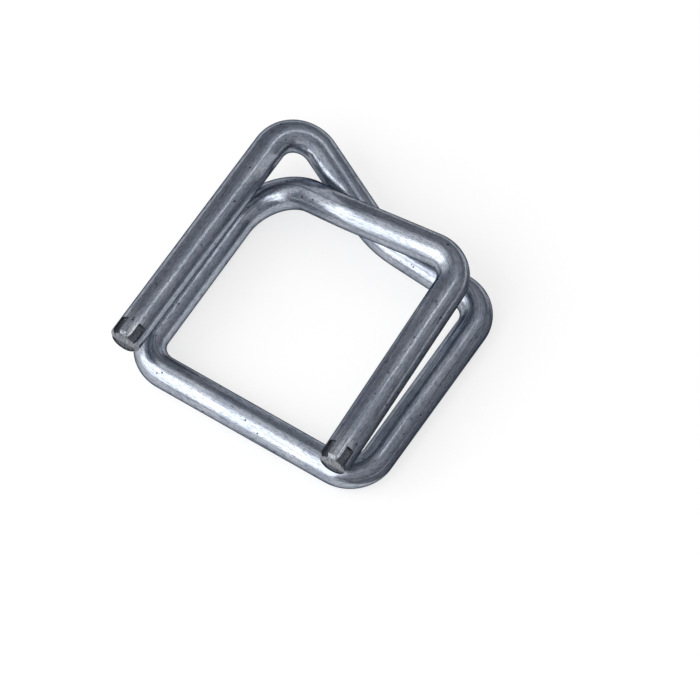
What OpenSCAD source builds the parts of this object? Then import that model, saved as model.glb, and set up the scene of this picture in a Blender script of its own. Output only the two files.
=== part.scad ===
// Strapping buckle, bent from one length of galvanised wire.
// Two crossbars and two legs make a flat frame.
// The wire's two free ends stand over the crossbars as open prongs, so that a loop slips on from the side.
// X runs from crossbar to crossbar, Y along the bars, Z up. The frame lies on Z = 0, and the buckle's box
// is centred over the origin. Millimetres.

/* [Wire] */
// diameter of the wire
wire_d = 3.5; // [2.6:0.1:4.6]
// centreline radius of the tight bends
bend_r = 3.4; // [2.8:0.1:4.4]
// centreline radius of the wide bend between the left crossbar and the upper leg
wide_r = 5.8; // [4:0.1:7]
// centreline radius of the slight bend where the lower leg flattens out
knee_r = 12; // [8:0.5:16]
// centreline radius of the slight bend where the upper leg levels off
crest_r = 9; // [6:0.5:14]

/* [Frame] */
// nominal width, which the buckle is named by
strap_w = 19; // [16:1:25]
// free width beyond the nominal one, both sides together
strap_play = 2.2; // [1:0.1:4]
// distance between the crossbars, axis to axis
frame_l = 27.6; // [25:0.2:34]
// how far the top corners stand out beyond a true rectangle
flare = 0.9; // [0.6:0.1:1.4]

/* [Crossing] */
// distance of the lower leg's slight bend from the right crossbar, along X
knee_from_bar = 14; // [12.5:0.5:15]
// distance of the upper leg's slight bend from the left crossbar, along X
crest_from_bar = 10.9; // [10:0.1:12]
// how far the upper leg swings inward where it crosses
crest_in = 0.8; // [0.4:0.1:1.4]

/* [Prongs] */
// free height under the prongs, above the frame
prong_gap = 1.7; // [1.4:0.1:3]
// how much lower the hook of the left prong lies than its tip
hook_dip = 0.8; // [0.6:0.1:1.2]
// how far the hook's corner reaches beyond the frame, along the bars
hook_reach = 6.7; // [6.4:0.05:8]
// how far the left prong stands outside its crossbar
left_out = 0.6; // [0:0.1:1.2]
// how far the right prong's root stands inside its crossbar
right_root_in = 3.2; // [2:0.1:4]
// how far the right prong's tip stands inside its crossbar
right_tip_in = 2.1; // [1.5:0.1:4]
// how far the left prong's tip reaches past the axis of the plain leg
left_tip_over = 1.6; // [0:0.1:3]
// how far the right prong's tip reaches past the axis of the plain leg
right_tip_over = 2.1; // [0:0.1:3]

/* [Tips] */
// chamfer round each cut end
tip_chamfer = 0.3; // [0.1:0.05:0.6]
// length of the two pressed notches in each tip
notch_l = 2; // [1:0.1:3]
// width of a pressed notch
notch_w = 1; // [0.5:0.05:1.2]
// depth of a pressed notch
notch_depth = 0.4; // [0.2:0.05:0.6]
// angle of a notch from the top of the wire
notch_angle = 38; // [32:1:50]

/* [Hidden] */
$fn = 72;

wire_r = wire_d / 2;
// bending draws the wire a hair thinner, and each bend runs this far into the straights
bend_thin = 0.01;
bend_lap = 0.1;
half_l = frame_l / 2;
half_w = (strap_w + strap_play + wire_d) / 2;
out_w = half_w + flare;
prong_z = wire_d + prong_gap;
left_tip_y = -half_w - left_tip_over;
right_tip_y = -half_w - right_tip_over;

// each row: a corner of the wire's axis above the frame's plane, and the radius it is bent to
route = [
  [[-half_l - left_out, left_tip_y, prong_z], 0],
  [[-half_l - left_out, half_w + hook_reach, prong_z - hook_dip], bend_r],
  [[half_l - knee_from_bar, out_w, 0], knee_r],
  [[half_l, half_w, 0], bend_r],
  [[half_l, -half_w, 0], bend_r],
  [[-half_l, -half_w, 0], bend_r],
  [[-half_l, out_w, 0], wide_r],
  [[-half_l + crest_from_bar, half_w - crest_in, prong_z], crest_r],
  [[half_l - right_root_in, out_w, prong_z], bend_r],
  [[half_l - right_tip_in, right_tip_y, prong_z], 0]
];
last = len(route) - 1;

function unit(v) = v / norm(v);
function thousandth(x) = round(x * 1000) / 1000;
function heading(i) = unit(route[i + 1][0] - route[i][0]);
function hinge(i) = unit(cross(heading(i - 1), heading(i)));

// the bending table: how far each corner turns, how far its bend starts before it,
// the straight length between bends, and the roll of the wire from one bend to the next
turn = [for (i = [0:last]) i == 0 || i == last ? 0 : thousandth(acos(heading(i - 1) * heading(i)))];
setback = [for (i = [0:last]) route[i][1] * tan(turn[i] / 2)];
feed = [
  for (i = [0:last - 1])
    thousandth(norm(route[i + 1][0] - route[i][0]) - setback[i] - setback[i + 1])
];
roll = [
  for (i = [0:last - 2])
    i == 0 ? 0 : atan2(cross(hinge(i), hinge(i + 1)) * heading(i), hinge(i) * hinge(i + 1))
];

// the buckle's reach along the bars, from the prong tips or the plain leg to the top of the hook's bend,
// and the middle of its box; a slanting tip reaches lowest at the rim of its end face
function face_low(tip_y, way) = tip_y - (wire_r - tip_chamfer) * sqrt(1 - pow(way.y, 2));
hook_centre = route[1][0] + unit(heading(1) - heading(0)) * bend_r / cos(turn[1] / 2);
high_y = hook_centre.y + bend_r * sqrt(1 - pow(hinge(1).y, 2)) + wire_r;
low_y = min(-half_w - wire_r, face_low(left_tip_y, heading(0)), face_low(right_tip_y, heading(last - 1)));
middle = [-left_out / 2, (low_y + high_y) / 2, -wire_r];
function corner(i) = route[i][0] - middle;

// one straight length along +Z, chamfered where the wire is cut off
module straight(l, start_cut = 0, end_cut = 0) {
  rotate_extrude()
    polygon([
      [0, 0],
      [wire_r - start_cut, 0],
      if (start_cut > 0) [wire_r, start_cut],
      if (end_cut > 0) [wire_r, l - end_cut],
      [wire_r - end_cut, l],
      [0, l]
    ]);
}

// one bend that leaves along +Z and turns toward +X, drawn a hair thinner and run into both straights
module bend(r, angle) {
  lap = bend_lap / r * 180 / PI;
  translate([r, 0, 0])
    rotate([90, 0, 180])
      rotate([0, 0, -lap])
        rotate_extrude(angle = angle + 2 * lap)
          translate([r, 0])
            circle(wire_r - bend_thin);
}

// the wire from straight i to its far end: feed, roll, bend, and so on
module form(i) {
  straight(feed[i], i == 0 ? tip_chamfer : 0, i == last - 1 ? tip_chamfer : 0);
  if (i < last - 1) {
    r = route[i + 1][1];
    translate([0, 0, feed[i]])
      rotate([0, 0, roll[i]]) {
        bend(r, turn[i + 1]);
        translate([r, 0, 0])
          rotate([0, turn[i + 1], 0])
            translate([-r, 0, 0])
              form(i + 1);
      }
  }
}

// the two pressed notches in the upper side of a tip that points along -Y
module tip_notches(tip, root) {
  d = unit(root - tip);
  translate(tip)
    rotate([asin(d.z), 0, atan2(-d.x, d.y)])
      for (side = [-1, 1])
        rotate([0, side * notch_angle, 0])
          translate([-notch_w / 2, -1, wire_r - notch_depth])
            cube([notch_w, notch_l + 1, notch_depth + 1]);
}

module buckle_wire() {
  y = hinge(1);
  z = heading(0);
  x = cross(y, z);
  p = corner(0);
  color("#aeb6c2")
    difference() {
      multmatrix([
        [x.x, y.x, z.x, p.x],
        [x.y, y.y, z.y, p.y],
        [x.z, y.z, z.z, p.z],
        [0, 0, 0, 1]
      ])
        form(0);
      tip_notches(corner(0), corner(1));
      tip_notches(corner(last), corner(last - 1));
    }
}

buckle_wire();
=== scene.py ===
# %% [markdown]
# # A strapping buckle, bent from one wire
# The buckle is one length of galvanised wire: cut off, pressed at both tips and bent eight times.
# The lesson draws the wire from a bender's table, finishes its ends, gives it its metals, and then
# lights it in a small studio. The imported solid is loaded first, because it fixes every size and
# place. Its box is kept, to compare with the finished piece at the end.

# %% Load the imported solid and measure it
import math

import bmesh
import bpy
from mathutils import Matrix, Vector


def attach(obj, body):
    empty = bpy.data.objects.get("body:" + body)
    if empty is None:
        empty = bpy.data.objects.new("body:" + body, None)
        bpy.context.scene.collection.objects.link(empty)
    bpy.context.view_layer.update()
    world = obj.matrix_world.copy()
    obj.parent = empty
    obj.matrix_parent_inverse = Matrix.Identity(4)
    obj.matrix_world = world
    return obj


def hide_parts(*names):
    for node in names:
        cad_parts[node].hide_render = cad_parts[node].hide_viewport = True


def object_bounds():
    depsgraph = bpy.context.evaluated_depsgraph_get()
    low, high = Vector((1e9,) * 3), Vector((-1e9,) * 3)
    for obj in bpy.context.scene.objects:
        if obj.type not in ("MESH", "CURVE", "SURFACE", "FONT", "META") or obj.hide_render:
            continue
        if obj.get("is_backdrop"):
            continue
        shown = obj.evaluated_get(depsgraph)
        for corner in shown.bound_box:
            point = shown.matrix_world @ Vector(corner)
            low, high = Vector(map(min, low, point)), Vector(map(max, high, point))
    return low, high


MM = 0.001

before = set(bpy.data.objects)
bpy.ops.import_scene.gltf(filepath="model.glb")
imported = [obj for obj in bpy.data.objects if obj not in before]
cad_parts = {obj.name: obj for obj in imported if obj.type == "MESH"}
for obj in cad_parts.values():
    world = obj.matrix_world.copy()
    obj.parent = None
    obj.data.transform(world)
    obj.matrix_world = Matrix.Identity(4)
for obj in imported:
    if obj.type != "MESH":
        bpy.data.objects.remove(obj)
cad_low, cad_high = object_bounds()
cad_sides = [round(side / MM, 2) for side in cad_high - cad_low]
print("nodes:", len(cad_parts), "and the solid's box, mm:", cad_sides)

# %% [markdown]
# ## The bending table
# A wire bender works from a table: feed so much straight wire, roll it, bend it by an angle round a
# former, and feed again. Only the corners of the wire's axis and the radius of each bend are written
# down here, in millimetres. Everything else in the table follows from them by plain geometry.

# %% Work out the bending table
WIRE_R = 1.75 * MM
CORNERS = [
    ((-14.1, -16.315, 6.95), 0),
    ((-14.1, 16.685, 6.15), 3.4),
    ((0.1, 10.885, 1.75), 12),
    ((14.1, 9.985, 1.75), 3.4),
    ((14.1, -14.715, 1.75), 3.4),
    ((-13.5, -14.715, 1.75), 3.4),
    ((-13.5, 10.885, 1.75), 5.8),
    ((-2.6, 9.185, 6.95), 9),
    ((10.9, 10.885, 6.95), 3.4),
    ((12.0, -16.815, 6.95), 0),
]
corner = [Vector(place) * MM for place, radius in CORNERS]
bend_r = [radius * MM for place, radius in CORNERS]
last = len(corner) - 1

heading = [(corner[i + 1] - corner[i]).normalized() for i in range(last)]
hinge = [None] * (last + 1)
turn = [0.0] * (last + 1)
for i in range(1, last):
    hinge[i] = heading[i - 1].cross(heading[i]).normalized()
    turn[i] = heading[i - 1].angle(heading[i])
setback = [bend_r[i] * math.tan(turn[i] / 2) for i in range(last + 1)]
feed = [(corner[i + 1] - corner[i]).length - setback[i] - setback[i + 1] for i in range(last)]

for i in range(last):
    print(f"feed {feed[i] / MM:6.2f} mm, then bend {math.degrees(turn[i + 1]):6.2f} degrees")

# %% [markdown]
# ## The wire
# A tube along a curve would be the quick way, but its rings crowd together on tight bends. Here a
# circle is drawn out instead, as a hand would do it in edit mode: Extrude makes the straight lengths
# and Spin makes the bends, so each bend is a true arc and each ring stands square to the wire.
# The first and last rings are smaller, which gives the chamfer round the cut ends. The rings stand
# closer together near the tips, where the notches will be cut.

# %% Helpers for drawing wire
SIDES = 72
TIP_CHAMFER = 0.3 * MM
TIP_ZONE = 3 * MM
TIP_STEP = 0.25 * MM
FEED_STEP = 1.2 * MM
BEND_STEP = math.radians(4)


def edit(action):
    """Goes into edit mode or out of it."""
    bpy.ops.object.mode_set(mode="EDIT" if action == "start" else "OBJECT")


def pull(way, length, step):
    """Draws the selected ring straight out, in steps of about this length."""
    count = max(1, round(length / step))
    for _ in range(count):
        bpy.ops.mesh.extrude_edges_move(TRANSFORM_OT_translate={"value": way * (length / count)})


def widen(centre, factor):
    """Scales the selected ring about its middle."""
    bpy.ops.transform.resize(value=(factor, factor, factor), center_override=centre)


print("each ring has", SIDES, "sides")

# %% Draw the wire out of its first ring
small_r = WIRE_R - TIP_CHAMFER
bpy.ops.object.select_all(action="DESELECT")
bpy.ops.mesh.primitive_circle_add(
    vertices=SIDES,
    radius=small_r,
    location=corner[0],
    rotation=heading[0].to_track_quat("Z", "Y").to_euler(),
)
wire = bpy.context.object
wire.name = "formed_wire"
bpy.ops.object.transform_apply(location=True, rotation=True, scale=True)

edit("start")
bpy.ops.mesh.select_all(action="SELECT")
pull(heading[0], TIP_CHAMFER, TIP_CHAMFER)
widen(corner[0] + heading[0] * TIP_CHAMFER, WIRE_R / small_r)
pull(heading[0], TIP_ZONE, TIP_STEP)
pull(heading[0], feed[0] - TIP_CHAMFER - TIP_ZONE, FEED_STEP)
for i in range(1, last):
    start = corner[i] - heading[i - 1] * setback[i]
    centre = start + hinge[i].cross(heading[i - 1]) * bend_r[i]
    steps = max(2, round(turn[i] / BEND_STEP))
    bpy.ops.mesh.spin(steps=steps, angle=-turn[i], center=centre, axis=hinge[i])
    if i < last - 1:
        pull(heading[i], feed[i], FEED_STEP)
pull(heading[-1], feed[-1] - TIP_CHAMFER - TIP_ZONE, FEED_STEP)
pull(heading[-1], TIP_ZONE, TIP_STEP)
pull(heading[-1], TIP_CHAMFER, TIP_CHAMFER)
widen(corner[-1], small_r / WIRE_R)
print("drawn:", last, "straight lengths and", last - 1, "bends")

# %% Close both ends
MERGE = 0.001 * MM
bpy.ops.mesh.edge_face_add()
bpy.ops.mesh.select_all(action="DESELECT")
bpy.ops.mesh.select_non_manifold()
bpy.ops.mesh.edge_face_add()
bpy.ops.mesh.select_all(action="SELECT")
bpy.ops.mesh.remove_doubles(threshold=MERGE)
bpy.ops.mesh.normals_make_consistent(inside=False)
edit("end")
far_ring = [v.co for v in wire.data.vertices if (v.co - corner[-1]).length < small_r + MERGE]
drift = (sum(far_ring, Vector()) / len(far_ring) - corner[-1]).length
print(f"wire: {len(wire.data.polygons)} faces, its far end is {drift / MM:.5f} mm off the table")

# %% [markdown]
# ## The cut ends
# Wire is cropped by two blades. Where they bite, the end is burnished smooth, and where the steel
# then snaps, it breaks a little deeper and rougher. A flat disc would look like turned bar, so each
# end face is split by Bisect and its broken part is pushed in by about a tenth of a millimetre.

# %% Split the end faces along the shear line
BREAK_DEPTH = 0.12 * MM
BREAK_BELOW = 0.1 * MM
# the cosine past which a face counts as flat on the end
FLAT_ON = 0.99
ends = [(corner[0], -heading[0]), (corner[-1], heading[-1])]


def select_faces(wanted):
    """Selects, in edit mode, the faces that the test takes."""
    bpy.ops.mesh.select_all(action="DESELECT")
    mesh = bmesh.from_edit_mesh(wire.data)
    for face in mesh.faces:
        face.select = wanted(face)
    mesh.select_flush(True)
    bmesh.update_edit_mesh(wire.data)


def on_end(face, tip, out):
    """Whether a face lies flat on the cut end at this tip."""
    return face.normal.dot(out) > FLAT_ON and (face.calc_center_median() - tip).length < WIRE_R


def below_break(face, tip, up):
    """Whether a face lies under the shear line of this tip."""
    return (face.calc_center_median() - tip).dot(up) < -BREAK_BELOW


edit("start")
for tip, out in ends:
    up = Vector((0, 0, 1))
    up = (up - out * up.dot(out)).normalized()
    select_faces(lambda face: on_end(face, tip, out))
    bpy.ops.mesh.bisect(plane_co=tip - up * BREAK_BELOW, plane_no=up)
    select_faces(lambda face: on_end(face, tip, out) and below_break(face, tip, up))
    bpy.ops.mesh.extrude_region_move(TRANSFORM_OT_translate={"value": out * -BREAK_DEPTH})
edit("end")
print("end faces split, faces now:", len(wire.data.polygons))

# %% [markdown]
# ## The pressed notches
# Each tip has two short notches in its upper side, pressed in so that a loop can't creep off the
# prong. They are sharp and deep enough to catch shadow, so bump would not do. Four small blocks with
# rounded edges stand for the press tool, and one Boolean modifier takes them out of the wire.

# %% Make the press tool
NOTCH_L = 2 * MM
NOTCH_W = 1 * MM
NOTCH_DEPTH = 0.4 * MM
NOTCH_ANGLE = math.radians(38)
NOTCH_ROUND = 0.07 * MM
ROUND_STEPS = 3
TOOL_SPARE = 1 * MM

bpy.ops.object.select_all(action="DESELECT")
tools = []
for tip, root in ((corner[0], corner[1]), (corner[-1], corner[-2])):
    way = (root - tip).normalized()
    pitch = Matrix.Rotation(math.asin(way.z), 4, "X")
    square = Matrix.Rotation(math.atan2(-way.x, way.y), 4, "Z") @ pitch
    for side in (-1, 1):
        tilt = Matrix.Rotation(side * NOTCH_ANGLE, 4, "Y")
        middle = Vector((0, (NOTCH_L - TOOL_SPARE) / 2, WIRE_R + (TOOL_SPARE - NOTCH_DEPTH) / 2))
        place = Matrix.Translation(tip) @ square @ tilt @ Matrix.Translation(middle)
        bpy.ops.mesh.primitive_cube_add(size=1)
        tool = bpy.context.object
        tool.scale = (NOTCH_W, NOTCH_L + TOOL_SPARE, NOTCH_DEPTH + TOOL_SPARE)
        bpy.ops.object.transform_apply(location=True, rotation=True, scale=True)
        edit("start")
        bpy.ops.mesh.select_all(action="SELECT")
        bpy.ops.mesh.bevel(offset=NOTCH_ROUND, segments=ROUND_STEPS)
        edit("end")
        tool.matrix_world = place
        tools.append(tool)

bpy.ops.object.select_all(action="DESELECT")
for tool in tools:
    tool.select_set(True)
bpy.context.view_layer.objects.active = tools[0]
bpy.ops.object.join()
press = bpy.context.object
print("press tool:", len(tools), "blocks,", len(press.data.polygons), "faces")

# %% Press the notches
SMOOTH_BELOW = math.radians(28)

cut = wire.modifiers.new("notches", "BOOLEAN")
cut.operation = "DIFFERENCE"
cut.solver = "EXACT"
cut.object = press
bpy.ops.object.select_all(action="DESELECT")
wire.select_set(True)
bpy.context.view_layer.objects.active = wire
bpy.ops.object.modifier_apply(modifier=cut.name)
bpy.data.objects.remove(press)
edit("start")
bpy.ops.mesh.select_all(action="SELECT")
bpy.ops.mesh.dissolve_degenerate(threshold=MERGE)
edit("end")
bpy.ops.object.shade_smooth_by_angle(angle=SMOOTH_BELOW)
print("notches pressed, faces now:", len(wire.data.polygons))

# %% [markdown]
# ## Where each point lay on the straight wire
# Drawing wire through a die leaves fine lines along it, and they follow every bend. Plain object
# coordinates would run straight through the bends instead. So each vertex gets an attribute with its
# place on the wire before it was bent: across, across and along. It is found by turning the vertex
# back round each bend in the table.

# %% Unbend the vertices into an attribute
ATTRIBUTE = "straight_wire"
across = heading[0].orthogonal().normalized()
cross_axes = [(across, heading[0].cross(across))]
for i in range(1, last):
    back_turn = Matrix.Rotation(turn[i], 3, hinge[i])
    cross_axes.append(tuple(back_turn @ axis for axis in cross_axes[-1]))


def unbend(point):
    """Where a point of the bent wire lay on the straight one."""
    best = None
    along = 0.0
    for i in range(last):
        first, second = cross_axes[i]
        begin = corner[i] + heading[i] * setback[i]
        reach = (point - begin).dot(heading[i])
        if i > 0:
            reach = max(reach, 0.0)
        if i < last - 1:
            reach = min(reach, feed[i])
        rest = point - begin - heading[i] * reach
        if best is None or rest.length < best[0]:
            best = (rest.length, Vector((rest.dot(first), rest.dot(second), along + reach)))
        along += feed[i]
        if i == last - 1:
            break
        bend_start = begin + heading[i] * feed[i]
        inward = hinge[i + 1].cross(heading[i])
        centre = bend_start + inward * bend_r[i + 1]
        arm = point - centre
        angle = math.atan2(arm.dot(heading[i]), -arm.dot(inward))
        if 0 <= angle <= turn[i + 1]:
            turned = Matrix.Rotation(-angle, 3, hinge[i + 1]) @ arm + centre
            rest = turned - bend_start
            if rest.length < best[0]:
                reach = along + bend_r[i + 1] * angle
                best = (rest.length, Vector((rest.dot(first), rest.dot(second), reach)))
        along += bend_r[i + 1] * turn[i + 1]
    return best[1]


straight = [unbend(v.co) for v in wire.data.vertices]
layer = wire.data.attributes.new(ATTRIBUTE, "FLOAT_VECTOR", "POINT")
for item, place in zip(layer.data, straight):
    item.vector = place
wire_length = max(p.z for p in straight)
thickest = max(math.hypot(p.x, p.y) for p in straight)
print(f"developed length {wire_length / MM:.2f} mm, radius {thickest / MM:.4f} mm")

# %% [markdown]
# ## Colour and node helpers
# Colours are written as the sRGB hex values that a colour picker shows, and one function turns them
# into the linear numbers that a shader needs. A second one adds a node, sets it and links it, and a
# third starts an empty material.


# %% Helpers for materials
def srgb(code):
    """A hex colour as linear red, green, blue and alpha."""
    parts = [int(code[k : k + 2], 16) / 255 for k in (1, 3, 5)]
    return [p / 12.92 if p <= 0.04045 else ((p + 0.055) / 1.055) ** 2.4 for p in parts] + [1.0]


def add(tree, kind, inputs=None, **settings):
    """Adds a node with its settings. An input is a value, or a socket to link from."""
    made = tree.nodes.new("ShaderNode" + kind)
    for name, value in settings.items():
        setattr(made, name, value)
    for name, value in (inputs or {}).items():
        if isinstance(value, bpy.types.NodeSocket):
            tree.links.new(value, made.inputs[name])
        else:
            made.inputs[name].default_value = value
    return made


def new_material(name):
    """An empty node material, its tree and its output."""
    made = bpy.data.materials.new(name)
    made.use_nodes = True
    made.node_tree.nodes.clear()
    return made, made.node_tree, made.node_tree.nodes.new("ShaderNodeOutputMaterial")


print("mid zinc grey, linear:", [round(x, 3) for x in srgb("#a5acb8")])

# %% [markdown]
# ## Galvanised wire
# Bright galvanised steel wire is dipped in zinc and wiped smooth. The zinc is a cool, slightly blue
# metal, a little duller where it is seen at a slant. It shows lines from the die and the wiping, a
# short broken grain between them, soft patches a few millimetres wide where the zinc froze, and small
# dark pits. Use rubs the upper side of the tips bright over the last millimetres, and the lighter
# colour on their upward faces is partly a painted highlight. The lines and the grain are really a few
# hundredths of a millimetre wide, and are drawn coarser here so that they show in the render.

# %% Lines, grain and patches in the zinc
LINE_W = 0.2 * MM
LINE_L = 12 * MM
GRAIN_W = 0.13 * MM
GRAIN_L = 0.55 * MM
PATCH = 2.8 * MM

zinc, tree, output = new_material("galvanised_steel_wire")
place = add(tree, "Attribute", attribute_name=ATTRIBUTE).outputs["Vector"]
streaks = []
for width, length, detail in ((LINE_W, LINE_L, 3), (GRAIN_W, GRAIN_L, 2)):
    sized = add(tree, "Mapping", {"Vector": place, "Scale": (1 / width, 1 / width, 1 / length)})
    noise = add(
        tree,
        "TexNoise",
        {"Vector": sized.outputs["Vector"], "Scale": 1, "Detail": detail, "Roughness": 0.6},
    )
    streaks.append(noise.outputs["Fac"])
line, grain = streaks
patches = add(
    tree, "TexNoise", {"Vector": place, "Scale": 1 / PATCH, "Detail": 4, "Roughness": 0.55}
)
patch = patches.outputs["Fac"]
print("patterns for lines, grain and patches")

# %% Pits in the zinc
PIT_APART = 1.1 * MM
PIT_CORE = 0.077 * MM
PIT_RIM = 0.143 * MM
PIT_SKIP = 0.5

pits = add(tree, "TexVoronoi", {"Vector": place, "Scale": 1 / PIT_APART})
near = add(
    tree,
    "MapRange",
    {
        "Value": pits.outputs["Distance"],
        "From Min": PIT_CORE / PIT_APART,
        "From Max": PIT_RIM / PIT_APART,
        "To Min": 1,
        "To Max": 0,
    },
)
some = add(tree, "Math", {0: pits.outputs["Color"], 1: PIT_SKIP}, operation="GREATER_THAN")
pit = add(tree, "Math", {0: near.outputs["Result"], 1: some.outputs["Value"]}, operation="MULTIPLY")
print("a pit in about every second cell of", round(PIT_APART / MM, 1), "mm")

# %% Tips rubbed bright by use, with a painted highlight on their upward faces
WEAR_AND_SHEEN_FROM = 4 * MM
WEAR_AND_SHEEN_FULL = 1.2 * MM
TOP_FROM = 0.55
TOP_FULL = 0.9
WEAR_AND_SHEEN_MOST = 0.9

half_wire = wire_length / 2
along_wire = add(tree, "SeparateXYZ", {0: place}).outputs["Z"]
from_middle = add(tree, "Math", {0: along_wire, 1: half_wire}, operation="SUBTRACT")
either_way = add(tree, "Math", {0: from_middle.outputs["Value"]}, operation="ABSOLUTE")
near_tip = add(
    tree,
    "MapRange",
    {
        "Value": either_way.outputs["Value"],
        "From Min": half_wire - WEAR_AND_SHEEN_FROM,
        "From Max": half_wire - WEAR_AND_SHEEN_FULL,
    },
)
# the upward faces of the tips get the lighter colour: wear, and partly a painted highlight
upward = add(tree, "SeparateXYZ", {0: add(tree, "TexCoord").outputs["Normal"]}).outputs["Z"]
on_top = add(
    tree,
    "MapRange",
    {"Value": upward, "From Min": TOP_FROM, "From Max": TOP_FULL, "To Max": WEAR_AND_SHEEN_MOST},
)
wear_and_sheen = add(
    tree, "Math", {0: near_tip.outputs["Result"], 1: on_top.outputs["Result"]}, operation="MULTIPLY"
)
print("tips worn over the last", round(WEAR_AND_SHEEN_FROM / MM, 1), "mm")

# %% The zinc's colour
# the sockets of a Mix node that mixes colours
MIX_SHARE = 0
MIX_FROM = 6
MIX_TO = 7
MIX_RESULT = 2

frost = add(tree, "MapRange", {"Value": patch, "From Min": 0.35, "From Max": 0.65})
skin = add(
    tree,
    "Mix",
    {MIX_SHARE: frost.outputs["Result"], MIX_FROM: srgb("#a5acb8"), MIX_TO: srgb("#b8bdc6")},
    data_type="RGBA",
)
dark_line = add(tree, "MapRange", {"Value": line, "From Min": 0.54, "From Max": 0.7, "To Max": 0.75})
dark_grain = add(
    tree, "MapRange", {"Value": grain, "From Min": 0.48, "From Max": 0.66, "To Max": 0.55}
)
# the first tone is the tips' wear, partly a painted highlight on their upward faces
tones = [
    (wear_and_sheen.outputs["Value"], "#dadde2"),
    (dark_line.outputs["Result"], "#6b727f"),
    (dark_grain.outputs["Result"], "#565d6a"),
    (pit.outputs["Value"], "#41454e"),
]
colour = skin.outputs[MIX_RESULT]
for share, code in tones:
    toned = add(
        tree, "Mix", {MIX_SHARE: share, MIX_FROM: colour, MIX_TO: srgb(code)}, data_type="RGBA"
    )
    colour = toned.outputs[MIX_RESULT]
print("zinc colour:", len(tones), "tones over the patches")

# %% The zinc's gloss and relief
LINE_DEPTH = 0.006 * MM
GRAIN_DEPTH = 0.006 * MM
PATCH_DEPTH = 0.02 * MM

gloss = add(
    tree,
    "MapRange",
    {"Value": line, "From Min": 0.3, "From Max": 0.7, "To Min": 0.19, "To Max": 0.31},
)
relief = {}
for height, depth in ((line, LINE_DEPTH), (grain, GRAIN_DEPTH), (patch, PATCH_DEPTH)):
    bump = add(tree, "Bump", {"Height": height, "Strength": 1, "Distance": depth, **relief})
    relief = {"Normal": bump.outputs["Normal"]}
metal = add(
    tree,
    "BsdfPrincipled",
    {
        "Base Color": colour,
        "Metallic": 1.0,
        "Roughness": gloss.outputs["Result"],
        "Specular Tint": srgb("#484b50"),
        **relief,
    },
)
tree.links.new(metal.outputs["BSDF"], output.inputs["Surface"])
print("zinc skin:", len(tree.nodes), "nodes")

# %% [markdown]
# ## Bare steel where the wire was cut and pressed
# The end faces and the notches have no zinc: the blades and the press went through it. Bare
# low-carbon steel is darker than zinc. Where the tool slid, on the upper part of the end and on the
# chamfer round it, it is burnished, with short upright scores. Where it snapped it is rough and dark.
# The floors of the notches get the light finish and their walls the dark one: partly the press's
# burnish, and partly painted light on the floors and painted shade on the walls, to show the cut.
# The two finishes share one pattern and differ in colour, roughness and depth, so one function makes
# both.

# %% The two finishes of cut steel
SCORE_W = 0.16 * MM
SCORE_L = 1.0 * MM
ROUGH_SPREAD = 0.1


def cut_steel(name, low, high, rough, depth):
    """Bare steel with short upright scores, from a dark to a light colour."""
    made, tree, output = new_material(name)
    place = add(tree, "TexCoord").outputs["Object"]
    sized = add(
        tree, "Mapping", {"Vector": place, "Scale": (1 / SCORE_W, 1 / SCORE_W, 1 / SCORE_L)}
    )
    scores = add(
        tree,
        "TexNoise",
        {"Vector": sized.outputs["Vector"], "Scale": 1, "Detail": 3, "Roughness": 0.65},
    )
    score = scores.outputs["Fac"]
    spread = add(tree, "MapRange", {"Value": score, "From Min": 0.35, "From Max": 0.65})
    shade = add(
        tree,
        "Mix",
        {MIX_SHARE: spread.outputs["Result"], MIX_FROM: srgb(low), MIX_TO: srgb(high)},
        data_type="RGBA",
    )
    matt = add(
        tree,
        "MapRange",
        {
            "Value": score,
            "From Min": 0.3,
            "From Max": 0.7,
            "To Min": rough + ROUGH_SPREAD,
            "To Max": rough,
        },
    )
    relief = add(tree, "Bump", {"Height": score, "Strength": 1, "Distance": depth})
    metal = add(
        tree,
        "BsdfPrincipled",
        {
            "Base Color": shade.outputs[MIX_RESULT],
            "Metallic": 1.0,
            "Roughness": matt.outputs["Result"],
            "Normal": relief.outputs["Normal"],
        },
    )
    tree.links.new(metal.outputs["BSDF"], output.inputs["Surface"])
    return made


# the light steel also paints light on the notch floors, and the dark steel paints shade on their walls
burnished_and_lit = cut_steel("burnished_and_lit_cut_steel", "#4d5158", "#94989f", 0.3, 0.01 * MM)
snapped_and_shaded = cut_steel("snapped_and_shaded_bare_steel", "#34373d", "#767a82", 0.45, 0.025 * MM)
print("cut steel:", burnished_and_lit.name, "and", snapped_and_shaded.name)

# %% Give each face its metal
SKIN_DEPTH = 0.04 * MM
# cosines that tell the chamfer and the floors of the notches from the other cut faces
CHAMFER_LEAN = (0.6, 0.8)
FLOOR_LEAN = 0.9

finishes = [zinc, burnished_and_lit, snapped_and_shaded]
for finish in finishes:
    wire.data.materials.append(finish)
for face in wire.data.polygons:
    middle = sum((straight[k] for k in face.vertices), Vector()) / len(face.vertices)
    if math.hypot(middle.x, middle.y) > WIRE_R - SKIN_DEPTH:
        continue
    face.material_index = finishes.index(snapped_and_shaded)
    for tip, out in ends:
        lean = face.normal.dot(out)
        back = (tip - face.center).dot(out)
        outward = (face.center - tip + out * back).normalized()
        is_end = lean > FLAT_ON and abs(back) < BREAK_DEPTH / 2
        is_chamfer = CHAMFER_LEAN[0] < lean < CHAMFER_LEAN[1] and 0 < back < TIP_CHAMFER
        # notch floors take the light steel: partly burnish, partly painted light against the walls'
        # painted shade
        is_floor = face.normal.dot(outward) > FLOOR_LEAN and 0 < back < NOTCH_L
        if is_end or is_chamfer or is_floor:
            face.material_index = finishes.index(burnished_and_lit)
slots = [face.material_index for face in wire.data.polygons]
for k, finish in enumerate(finishes):
    print(finish.name, "on", slots.count(k), "faces")

# %% [markdown]
# ## Onto the frame
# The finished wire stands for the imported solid. The buckle has no joints, so it rides on the one body.

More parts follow.
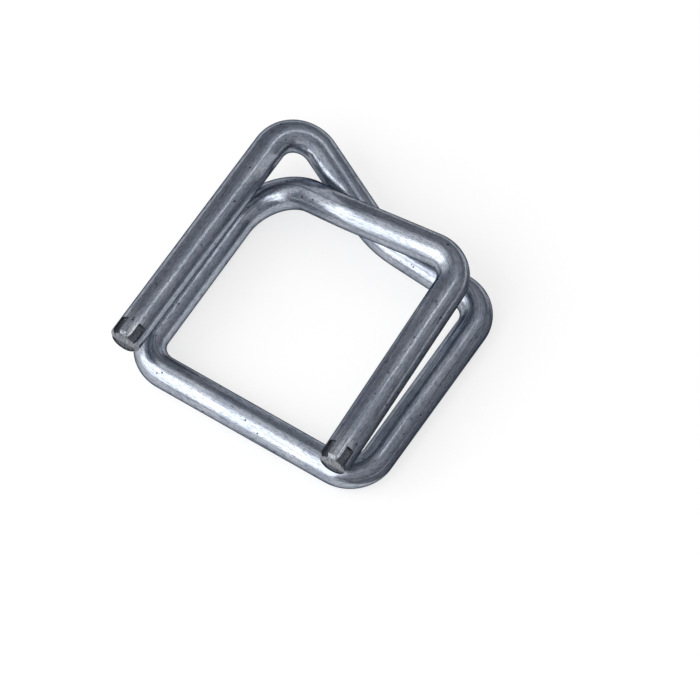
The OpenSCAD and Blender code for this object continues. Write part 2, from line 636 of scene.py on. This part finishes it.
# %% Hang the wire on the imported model
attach(wire, "root")
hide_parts("buckle_wire")
print(wire.name, "rides on the one body")

# %% [markdown]
# ## Camera
# The picture looks down on the buckle from the front and from the right, with hardly any perspective,
# so a long lens stands far off. The lens follows from the width that has to fill the frame.

# %% Set the camera
AZIMUTH = math.radians(32.68)
ELEVATION = math.radians(61.54)
AIM = Vector((4.456, -1.623, 0.872)) * MM
VIEW_WIDTH = 73.14 * MM
FAR = 1.6
SENSOR = 36.0

toward = Vector(
    (
        math.sin(AZIMUTH) * math.cos(ELEVATION),
        -math.cos(AZIMUTH) * math.cos(ELEVATION),
        math.sin(ELEVATION),
    )
)
facing = toward.to_track_quat("Z", "Y").to_euler()
bpy.ops.object.select_all(action="DESELECT")
bpy.ops.object.camera_add(location=AIM + toward * FAR, rotation=facing)
camera = bpy.context.object
camera.data.sensor_width = SENSOR
camera.data.lens = SENSOR * FAR / VIEW_WIDTH
camera.data.clip_start = 0.01
camera.data.clip_end = 20
bpy.context.scene.camera = camera
print(f"lens {camera.data.lens:.0f} mm")

# %% [markdown]
# ## Floor and backdrop
# The floor is pale and takes a soft shadow. To the camera, and in the mirror of the metal, most of
# its brightness is its own, so that it reads as the white of the page without more light on the
# buckle. It lies a hair below the wire, so that the two never share a plane.

# %% The pale floor
FLOOR_R = 0.9
FLOOR_SIDES = 96
FLOOR_DROP = 0.02 * MM


def seen_directly(tree):
    """1 for rays from the camera, mirror reflections and glass, and 0 for the rest."""
    path = add(tree, "LightPath").outputs
    total = add(
        tree, "Math", {0: path["Is Camera Ray"], 1: path["Is Glossy Ray"]}, operation="ADD"
    )
    return add(
        tree,
        "Math",
        {0: total.outputs["Value"], 1: path["Is Transmission Ray"]},
        operation="ADD",
        use_clamp=True,
    ).outputs["Value"]


paper, tree, output = new_material("white_paper_floor")
lit = add(tree, "BsdfDiffuse", {"Color": srgb("#e6e6e6")})
shadowed = add(tree, "BsdfDiffuse", {"Color": srgb("#b0b0b0")})
glow = add(tree, "Emission", {"Color": srgb("#ffffff"), "Strength": 0.64})
shown = add(tree, "AddShader", {0: shadowed.outputs["BSDF"], 1: glow.outputs["Emission"]})
both = add(
    tree, "MixShader", {0: seen_directly(tree), 1: lit.outputs["BSDF"], 2: shown.outputs["Shader"]}
)
tree.links.new(both.outputs["Shader"], output.inputs["Surface"])

bpy.ops.object.select_all(action="DESELECT")
bpy.ops.mesh.primitive_circle_add(
    vertices=FLOOR_SIDES, radius=FLOOR_R, fill_type="NGON", location=(0, 0, -FLOOR_DROP)
)
floor = bpy.context.object
floor.name = "floor"
floor.data.materials.append(paper)
floor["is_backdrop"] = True
print("floor", 2 * FLOOR_R, "m across")

# %% [markdown]
# ## Studio light
# Round metal shows its surroundings as long bands. A photographer builds them on purpose: a large
# soft box at the front left gives the broad bright band, a grey tent over the rest keeps the other
# flanks dim, and a narrow lamp draws a thin line along the right bar. Dark cards at the back left and
# along the foot of the soft box give the bright band its edges. A small grey card over the crossing
# keeps that band off the inside of the hook, a dark card under the roof puts a dark streak on its
# outside, and one laid on the floor beside the right bar gives that bar's outer flank a dark edge.
# Only the metal sees the tent and the cards.

# %% Helpers for the tent
TENT_TOP = 0.40
TENT_BACK = 0.32
TENT_SIDE = 0.40
TENT_WIDE = 0.9


def card_paint(name, code):
    """A plain card's material, which shines in this colour."""
    made, tree, output = new_material(name)
    shine = add(tree, "Emission", {"Color": srgb(code), "Strength": 1.0})
    tree.links.new(shine.outputs["Emission"], output.inputs["Surface"])
    return made


def card(name, centre, facing, width, height, paint):
    """A flat card that only mirror reflections see."""
    bpy.ops.object.select_all(action="DESELECT")
    turned = Vector(facing).to_track_quat("Z", "Y").to_euler()
    bpy.ops.mesh.primitive_plane_add(size=1, location=centre, rotation=turned)
    made = bpy.context.object
    made.name = name
    made.scale = (width, height, 1)
    bpy.ops.object.transform_apply(location=True, rotation=True, scale=True)
    made.data.materials.append(paint)
    made.visible_camera = False
    made.visible_diffuse = False
    made.visible_transmission = False
    made.visible_shadow = False
    made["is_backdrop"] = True


print("tent", TENT_TOP, "m high and", TENT_WIDE, "m wide")

# %% Grey cloth that is darker toward the floor, and the card paints
cloth, tree, output = new_material("grey_tent_cloth")
spot = add(tree, "SeparateXYZ", {0: add(tree, "TexCoord").outputs["Object"]})
share = add(tree, "MapRange", {"Value": spot.outputs["Z"], "From Min": 0, "From Max": TENT_TOP})
fade = add(tree, "ValToRGB", {"Fac": share.outputs["Result"]})
stops = fade.color_ramp.elements
stops[0].color = srgb("#5f6269")
stops[1].color = srgb("#aeb0b5")
stops.new(0.5).color = srgb("#999ba1")
shine = add(tree, "Emission", {"Color": fade.outputs["Color"], "Strength": 1.0})
tree.links.new(shine.outputs["Emission"], output.inputs["Surface"])

pale = card_paint("pale_card", "#f8f9fb")
dark = card_paint("dark_card", "#7a7d84")
black = card_paint("black_card", "#33363d")
grey = card_paint("grey_card", "#d4d6da")
print("cloth and four card paints")

# %% Hang the tent and the cards
half = TENT_TOP / 2
under_roof = TENT_TOP - 0.005
under_opening = under_roof - 0.001
on_floor = 0.03 * MM
card("tent_roof", (0, 0, TENT_TOP), (0, 0, -1), TENT_WIDE, TENT_WIDE, cloth)
card("tent_back", (0, TENT_BACK, half), (0, -1, 0), TENT_WIDE, TENT_TOP, cloth)
card("tent_right", (TENT_SIDE, 0, half), (-1, 0, 0), TENT_WIDE, TENT_TOP, cloth)
card("tent_front_right", (0.22, -0.45, half), (0, 1, 0), 0.38, TENT_TOP, cloth)
card("tent_left_back", (-TENT_SIDE, 0.19, half), (1, 0, 0), 0.26, TENT_TOP, cloth)
card("roof_opening", (-0.23, -0.16, under_roof), (0, 0, -1), 0.45, 0.56, pale)
card("roof_card", (0.06, -0.05, under_opening), (0, 0, -1), 0.13, 0.34, dark)
card("back_left_card", (-0.177, 0.19, 0.203), (0.177, -0.19, -0.203), 0.26, 0.30, dark)
card("foot_card", (-0.22, -0.38, 0.02), (0.22, 0.38, 0), 0.6, 0.04, black)
card("hook_card", (-0.0092, 0.011, 0.0099), (0, 1, 0), 0.0062, 0.0058, grey)
card("floor_card", (0.0405, -0.008, on_floor), (0, 0, 1), 0.048, 0.09, dark)
print("tent and cards hung")


# %% The soft boxes
def soft_box(name, centre, width, height, radiance):
    """A rectangular lamp that faces the buckle and looks this bright."""
    bpy.ops.object.select_all(action="DESELECT")
    turned = Vector(centre).to_track_quat("Z", "Y").to_euler()
    bpy.ops.object.light_add(type="AREA", location=centre, rotation=turned)
    made = bpy.context.object
    made.name = name
    made.data.shape = "RECTANGLE"
    made.data.size = width
    made.data.size_y = height
    made.data.energy = radiance * math.pi * width * height
    made.visible_camera = False
    print(f"{name}: {made.data.energy:.2f} W")


soft_box("front_box", (-0.156, -0.27, 0.195), 0.50, 0.44, 1.8)
soft_box("strip_box", (0.115, 0.18, 0.385), 0.035, 0.12, 2.6)

# %% The room
ROOM_FILL = 0.6

world = bpy.data.worlds.new("white_room")
bpy.context.scene.world = world
world.use_nodes = True
tree = world.node_tree
tree.nodes.clear()
fill = add(tree, "Background", {"Color": srgb("#ffffff"), "Strength": ROOM_FILL})
white = add(tree, "Background", {"Color": srgb("#ffffff"), "Strength": 1.0})
room = add(
    tree,
    "MixShader",
    {0: seen_directly(tree), 1: fill.outputs["Background"], 2: white.outputs["Background"]},
)
add(tree, "OutputWorld", {"Surface": room.outputs["Shader"]})
print("room light", ROOM_FILL, "of white")

# %% [markdown]
# ## Measure
# The finished piece is meant to stay inside the box of the imported solid. The last line prints how
# far it reaches beyond that box along each axis, in millimetres.

# %% Compare the boxes and finish
bpy.context.scene.view_settings.view_transform = "Standard"
low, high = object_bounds()
beyond = [max(cad_low[k] - low[k], high[k] - cad_high[k]) for k in range(3)]
print("beyond the solid's box, mm:", [round(over / MM, 4) for over in beyond])
